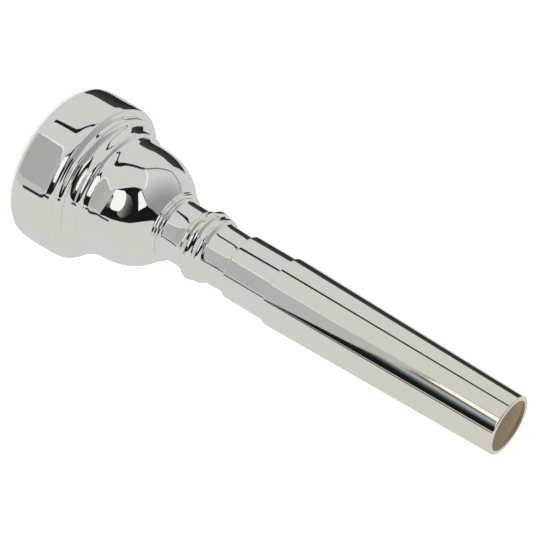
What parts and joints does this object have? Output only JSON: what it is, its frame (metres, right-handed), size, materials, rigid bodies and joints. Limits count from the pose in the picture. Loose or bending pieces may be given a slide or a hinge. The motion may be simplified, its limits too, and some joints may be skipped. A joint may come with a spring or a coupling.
{
  "type": "trumpet mouthpiece",
  "caption": "Silver-plated brass mouthpiece: rounded rim with a cup hollow, turned bowl, beaded stem and a long tapered shank, in pieces that unscrew or pull apart.",
  "frame": {"origin": "centre of the bore on the plane that the rim's face rests on", "axes": "+Z along the bore from the rim to the shank's end; X and Y are alike, because every piece is turned"},
  "size_m": [0.027, 0.027, 0.087],
  "materials": {
    "silver_plate": "bright silver plate over turned brass, mirror polished",
    "seal_rubber": "moulded nitrile, matt"
  },
  "bodies": {
    "rim": {"rim": "silver_plate"},
    "rim_seal": {"rim_seal": "seal_rubber"},
    "cup": {"cup": "silver_plate"},
    "stem_seal": {"stem_seal": "seal_rubber"},
    "stem": {"stem": "silver_plate"},
    "shank_sleeve": {"shank_sleeve": "silver_plate"}
  },
  "joints": [
    {"name": "rim_travel", "type": "slide", "parent": "rim", "child": "rim_seal", "axis": [0, 0, 1], "range_m": [0, 0.005]},
    {"name": "rim_unscrew", "type": "hinge", "parent": "rim_seal", "child": "cup", "pos_m": [0, 0, 0.006], "axis": [0, 0, 1], "range_deg": [0, 1800]},
    {"name": "stem_travel", "type": "slide", "parent": "cup", "child": "stem_seal", "axis": [0, 0, 1], "range_m": [0, 0.005]},
    {"name": "stem_unscrew", "type": "hinge", "parent": "stem_seal", "child": "stem", "pos_m": [0, 0, 0.02], "axis": [0, 0, 1], "range_deg": [0, 1800]},
    {"name": "sleeve_pull", "type": "slide", "parent": "stem", "child": "shank_sleeve", "axis": [0, 0, 1], "range_m": [0, 0.02]}
  ],
  "couplings": [
    {"joint": "rim_unscrew", "follows": "rim_travel", "rad_per_m": 6283.2},
    {"joint": "stem_unscrew", "follows": "stem_travel", "rad_per_m": 6283.2}
  ]
}
